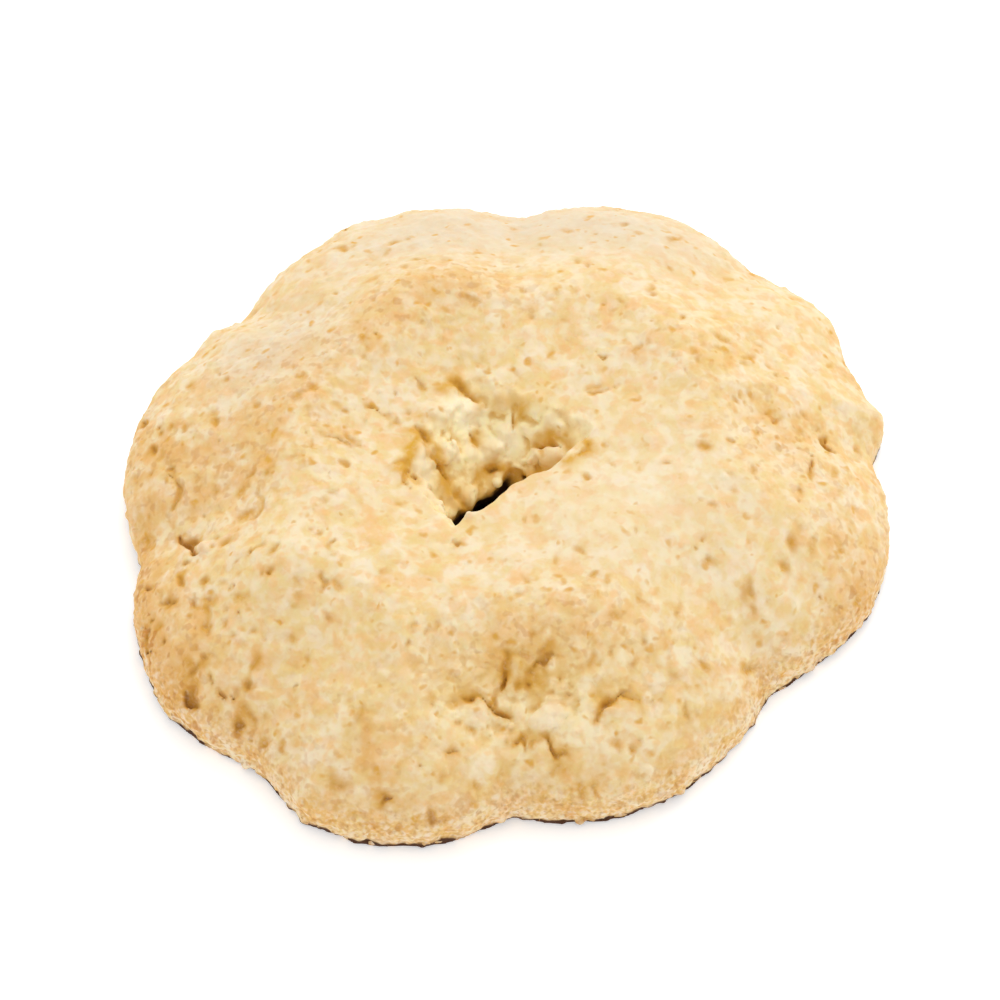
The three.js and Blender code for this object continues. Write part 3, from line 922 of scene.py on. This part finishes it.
def mix(factor, a, b, blend="MIX"):
    node = nodes.new("ShaderNodeMix")
    node.data_type = "RGBA"
    node.blend_type = blend
    node.clamp_factor = True
    put(node.inputs[0], factor)
    put(node.inputs[6], a)
    put(node.inputs[7], b)
    return node.outputs[2]


def span_(value, a, b, low=0.0, high=1.0, smoothly=True):
    node = nodes.new("ShaderNodeMapRange")
    node.interpolation_type = "SMOOTHSTEP" if smoothly else "LINEAR"
    put(node.inputs["Value"], value)
    node.inputs["From Min"].default_value = a
    node.inputs["From Max"].default_value = b
    node.inputs["To Min"].default_value = low
    node.inputs["To Max"].default_value = high
    return node.outputs[0]


coords = nodes.new("ShaderNodeTexCoord").outputs["Object"]


def noise_(size_mm, detail=2.0, roughness=0.5, shift=0.0, output="Fac"):
    node = nodes.new("ShaderNodeTexNoise")
    move = nodes.new("ShaderNodeVectorMath")
    move.operation = "ADD"
    put(move.inputs[0], coords)
    move.inputs[1].default_value = (shift, shift * 0.7, -shift)
    links.new(move.outputs[0], node.inputs["Vector"])
    node.inputs["Scale"].default_value = 1000.0 / size_mm
    node.inputs["Detail"].default_value = detail
    node.inputs["Roughness"].default_value = roughness
    return node.outputs[output]


def read(name):
    node = nodes.new("ShaderNodeAttribute")
    node.attribute_type = "GEOMETRY"
    node.attribute_name = name
    return node.outputs["Fac"]


PALE = srgb(238, 221, 184)
CREAM = srgb(236, 214, 168)
STRAW = srgb(230, 200, 132)
PEACH = srgb(235, 186, 122)
TOAST = srgb(225, 174, 103)
BROWN = srgb(164, 109, 34)
MILK = srgb(238, 219, 192)
FAR_SHEEN_AND_SHADE = srgb(218, 202, 177)
LIT_CRUMB = srgb(253, 238, 186)
GOLD = srgb(217, 161, 62)
SCORCH_AND_SHADE = srgb(132, 86, 44)
BURNT_AND_SHADOW = srgb(76, 46, 26)

# Coordinates pushed about a little, so that no cell has straight sides
push = nodes.new("ShaderNodeTexNoise")
put(push.inputs["Vector"], coords)
push.inputs["Scale"].default_value = 1000.0 / 1.5
push.inputs["Detail"].default_value = 1.5
centred = nodes.new("ShaderNodeVectorMath")
centred.operation = "SUBTRACT"
put(centred.inputs[0], push.outputs["Color"])
centred.inputs[1].default_value = (0.5, 0.5, 0.5)
scaled = nodes.new("ShaderNodeVectorMath")
scaled.operation = "SCALE"
put(scaled.inputs[0], centred.outputs[0])
scaled.inputs["Scale"].default_value = 0.0016
moved = nodes.new("ShaderNodeVectorMath")
moved.operation = "ADD"
put(moved.inputs[0], coords)
put(moved.inputs[1], scaled.outputs[0])


def crumbs_(size_mm, feature="F1"):
    node = nodes.new("ShaderNodeTexVoronoi")
    node.feature = feature
    put(node.inputs["Vector"], moved.outputs[0])
    node.inputs["Scale"].default_value = 1000.0 / size_mm
    return node


def parts(colour_):
    node = nodes.new("ShaderNodeSeparateColor")
    put(node.inputs[0], colour_)
    return node.outputs


patches = noise_(5.5, 2.0, 0.5)
mottle = noise_(2.4, 2.0, 0.6, 0.3)
speckle = noise_(1.15, 2.0, 0.6, 0.7)
grain = noise_(0.5, 2.0, 0.6, 1.3)
tint = noise_(2.0, 2.0, 0.55, 2.1)

colour = mix(span_(patches, 0.35, 0.65), PALE, CREAM)
colour = mix(span_(mottle, 0.46, 0.68, 0.0, 0.6), colour, STRAW)
colour = mix(span_(tint, 0.55, 0.72, 0.0, 0.6), colour, PEACH)
colour = mix(span_(tint, 0.45, 0.28, 0.0, 0.35), colour, MILK)

# Soft blots of their own tint: some large, some small
for size, shift, most in ((2.3, 5.0, 0.6), (1.1, 6.0, 0.5)):
    red, green, blue = parts(noise_(size, 0.8, 0.5, shift, "Color"))
    colour = mix(span_(red, 0.47, 0.32, 0.0, 0.65 * most), colour, MILK)
    colour = mix(span_(red, 0.54, 0.68, 0.0, most), colour, PEACH)
    colour = mix(span_(green, 0.52, 0.66, 0.0, most), colour, STRAW)

# Baked places, partly painted shade on the west: toast first, then brown freckles
browned_and_shaded = math_("ADD", read("browning_and_shade"), math_("MULTIPLY", math_("SUBTRACT", mottle, 0.5), 1.6))
browned_and_shaded = math_("ADD", browned_and_shaded, math_("MULTIPLY", math_("SUBTRACT", speckle, 0.5), 1.0))
colour = mix(span_(browned_and_shaded, 0.15, 1.35, 0.0, 0.9), colour, TOAST)
# Painted sheen and shade: the far side and the north-west flank turn greyer and darker
colour = mix(math_("MULTIPLY", read("far_sheen_and_shade"), 0.8), colour, FAR_SHEEN_AND_SHADE)

# Soft golden spots
flecks = crumbs_(1.5)
chosen = parts(flecks.outputs["Color"])[2]
fleck = math_(
    "MULTIPLY",
    span_(flecks.outputs["Distance"], 0.08, 0.36, 1.0, 0.0),
    span_(math_("ADD", chosen, math_("MULTIPLY", read("browning_and_shade"), 0.18)), 0.72, 0.84),
)

small_flecks = crumbs_(0.95)
small_fleck = math_(
    "MULTIPLY",
    span_(small_flecks.outputs["Distance"], 0.05, 0.38, 1.0, 0.0),
    span_(math_("ADD", parts(small_flecks.outputs["Color"])[1], math_("MULTIPLY", read("browning_and_shade"), 0.15)), 0.80, 0.92),
)

# Torn crumb is paler, and is brightened further as painted light where the dent's walls turn from the lamp; what lies
# in a crevice keeps a golden brown
colour = mix(math_("MULTIPLY", read("torn"), 0.85), colour, LIT_CRUMB)
sunk = math_("ADD", read("below"), math_("MULTIPLY", math_("SUBTRACT", grain, 0.5), 0.2))
colour = mix(span_(sunk, 0.03, 0.45, 0.0, 0.55), colour, GOLD)
colour = mix(math_("MULTIPLY", span_(sunk, 0.02, 0.28, 0.0, 0.7), read("torn")), colour, srgb(219, 170, 68))
colour = mix(span_(sunk, -0.02, -0.2, 0.0, 0.4), colour, MILK)
colour = mix(math_("MULTIPLY", fleck, 0.85), colour, GOLD)
colour = mix(math_("MULTIPLY", small_fleck, 0.65), colour, GOLD)
# Partly painted highlight: the whitest crumbs, and a broad whiter patch on the south-east plain
colour = mix(math_("MULTIPLY", read("white"), span_(mottle, 0.3, 0.5, 0.5, 0.9)), colour, srgb(248, 238, 210))
# Golden streaks: partly open crumb, partly painted shade along the lip
colour = mix(math_("MULTIPLY", read("gilt_and_shade"), span_(mottle, 0.35, 0.6, 0.65, 0.95)), colour, srgb(214, 160, 46))
colour = mix(math_("MULTIPLY", read("pit"), 0.9), colour, srgb(208, 151, 52))

# Toward the lower edge the crust is grainy: milky grains, toasted ones and dark specks
grains = crumbs_(0.85)
back = span_(grains.outputs["Distance"], 0.15, 0.55, 1.0, 0.0)
kind = parts(grains.outputs["Color"])
milky = math_("MULTIPLY", back, span_(kind[0], 0.45, 0.60, 0.0, 0.75))
toasted = math_("MULTIPLY", back, span_(kind[0], 0.40, 0.25, 0.0, 0.7))
colour = mix(math_("MULTIPLY", read("edge"), milky), colour, MILK)
colour = mix(math_("MULTIPLY", read("edge"), toasted), colour, TOAST)
sand = noise_(0.42, 1.0, 0.5, 4.4)
colour = mix(math_("MULTIPLY", read("edge"), span_(sand, 0.50, 0.68, 0.0, 0.6)), colour, MILK)
colour = mix(math_("MULTIPLY", read("edge"), span_(sand, 0.48, 0.32, 0.0, 0.5)), colour, srgb(186, 132, 70))
brown_here = math_("ADD", math_("MULTIPLY", read("browning_and_shade"), 0.6), math_("MULTIPLY", read("edge"), 0.3), clamp=True)
freckle = math_("MULTIPLY", span_(noise_(0.9, 1.0, 0.5, 8.8), 0.55, 0.68), brown_here)
colour = mix(math_("MULTIPLY", freckle, 0.8), colour, srgb(192, 126, 52))
specks = crumbs_(0.62)
speck = math_(
    "MULTIPLY",
    span_(specks.outputs["Distance"], 0.10, 0.45, 1.0, 0.0),
    span_(parts(specks.outputs["Color"])[0], 0.78, 0.90),
)
colour = mix(math_("MULTIPLY", math_("MULTIPLY", speck, read("edge")), 0.6), colour, BROWN)
colour = mix(math_("MULTIPLY", read("pit"), span_(sunk, 0.22, 0.6, 0.0, 0.75)), colour, BROWN)
colour = mix(span_(speckle, 0.52, 0.72, 0.0, 0.22), colour, TOAST)
colour = mix(span_(grain, 0.5, 0.72, 0.0, 0.15), colour, MILK)
colour = mix(read("under"), colour, mix(span_(mottle, 0.35, 0.65), TOAST, BROWN))
# Painted contact shadow together with the scorched foot: the lowest edge goes dark brown, then near-black
foot = math_("MULTIPLY", read("foot"), span_(kind[1], 0.74, 0.84, 1.0, 0.35))
colour = mix(math_("MULTIPLY", foot, 0.9), colour, SCORCH_AND_SHADE)
colour = mix(span_(foot, 0.45, 0.95), colour, BURNT_AND_SHADOW)
# Painted shade: near-black inside the slot, where the hole lies in shadow
colour = mix(read("deep"), colour, srgb(30, 12, 6))
links.new(colour, bsdf.inputs["Base Color"])

put(bsdf.inputs["Roughness"], span_(mottle, 0.3, 0.7, 0.72, 0.92))
bsdf.inputs["Specular IOR Level"].default_value = 0.2
bsdf.inputs["Subsurface Weight"].default_value = 0.25
bsdf.inputs["Subsurface Radius"].default_value = (1.0, 0.55, 0.28)
bsdf.inputs["Subsurface Scale"].default_value = 0.0006

height = math_(
    "ADD",
    math_("MULTIPLY", noise_(0.5, 3.0, 0.65, 1.1), math_("MULTIPLY_ADD", read("edge"), 0.9, 0.5)),
    math_("MULTIPLY", noise_(1.1, 2.0, 0.5, 7.0), 0.8),
)
bump = nodes.new("ShaderNodeBump")
bump.inputs["Strength"].default_value = 0.34
bump.inputs["Distance"].default_value = 0.00014
links.new(height, bump.inputs["Height"])
links.new(bump.outputs["Normal"], bsdf.inputs["Normal"])
fine.materials.clear()
fine.materials.append(material)

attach(crust, "root")
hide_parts("biscuit")

# =====================================================================================
# Floor, light and camera
# =====================================================================================
bpy.ops.mesh.primitive_plane_add(size=6, location=(0, 0, -0.00002))
floor = bpy.context.object
floor.name = "floor"
white = bpy.data.materials.new("floor_white")
white.use_nodes = True
paint = white.node_tree.nodes["Principled BSDF"]
paint.inputs["Base Color"].default_value = (0.92, 0.92, 0.92, 1)
paint.inputs["Emission Color"].default_value = (1, 1, 1, 1)
paint.inputs["Emission Strength"].default_value = 0.32  # a table lit from below, so no wide shadow
paint.inputs["Roughness"].default_value = 0.9
paint.inputs["Specular IOR Level"].default_value = 0.1
floor.data.materials.append(white)

# A dark disc under the biscuit, out of sight, stands in for shade: no light comes up through the slot
bpy.ops.mesh.primitive_circle_add(vertices=64, radius=0.02, fill_type="NGON", location=(0, 0, -0.00001))
shade_disc = bpy.context.object
shade_disc.name = "shade_disc"
dark = bpy.data.materials.new("shade_disc_dark")
dark.use_nodes = True
dark.node_tree.nodes["Principled BSDF"].inputs["Base Color"].default_value = (0.02, 0.01, 0.005, 1)
shade_disc.data.materials.append(dark)

world = bpy.data.worlds.new("studio")
bpy.context.scene.world = world
world.use_nodes = True
world.node_tree.nodes["Background"].inputs[0].default_value = (1, 1, 1, 1)
world.node_tree.nodes["Background"].inputs[1].default_value = 0.90


def lamp(name, place, size, power, aim=(0, 0, 0.005)):
    data = bpy.data.lights.new(name, "AREA")
    data.shape = "DISK"
    data.size = size
    data.energy = power
    ob = bpy.data.objects.new(name, data)
    ob.location = place
    ob.rotation_euler = (Vector(aim) - Vector(place)).to_track_quat("-Z", "Y").to_euler()
    bpy.context.scene.collection.objects.link(ob)
    return ob


lamp("key", (0.30, 0.80, 0.95), 0.8, 5.5)

VIEW_ELEVATION = 57.0
VIEW_DISTANCE = 0.45
LENS = 36 * 5.078
e = math.radians(VIEW_ELEVATION)
forward = Vector((0, math.cos(e), -math.sin(e)))
right = Vector((1, 0, 0))
up = Vector((0, math.sin(e), math.cos(e)))
aim = Vector((0.087e-3, -2.029e-3, 4.0e-3)) - right * (7 / 11.2e3) + up * (22 / 11.2e3)
camera_data = bpy.data.cameras.new("camera")
camera_data.lens = LENS
camera_data.sensor_width = 36
camera_data.clip_start = 0.05
camera = bpy.data.objects.new("camera", camera_data)
camera.location = aim - forward * VIEW_DISTANCE
camera.rotation_euler = forward.to_track_quat("-Z", "Y").to_euler()
bpy.context.scene.collection.objects.link(camera)
bpy.context.scene.camera = camera
bpy.context.scene.view_settings.view_transform = "Standard"
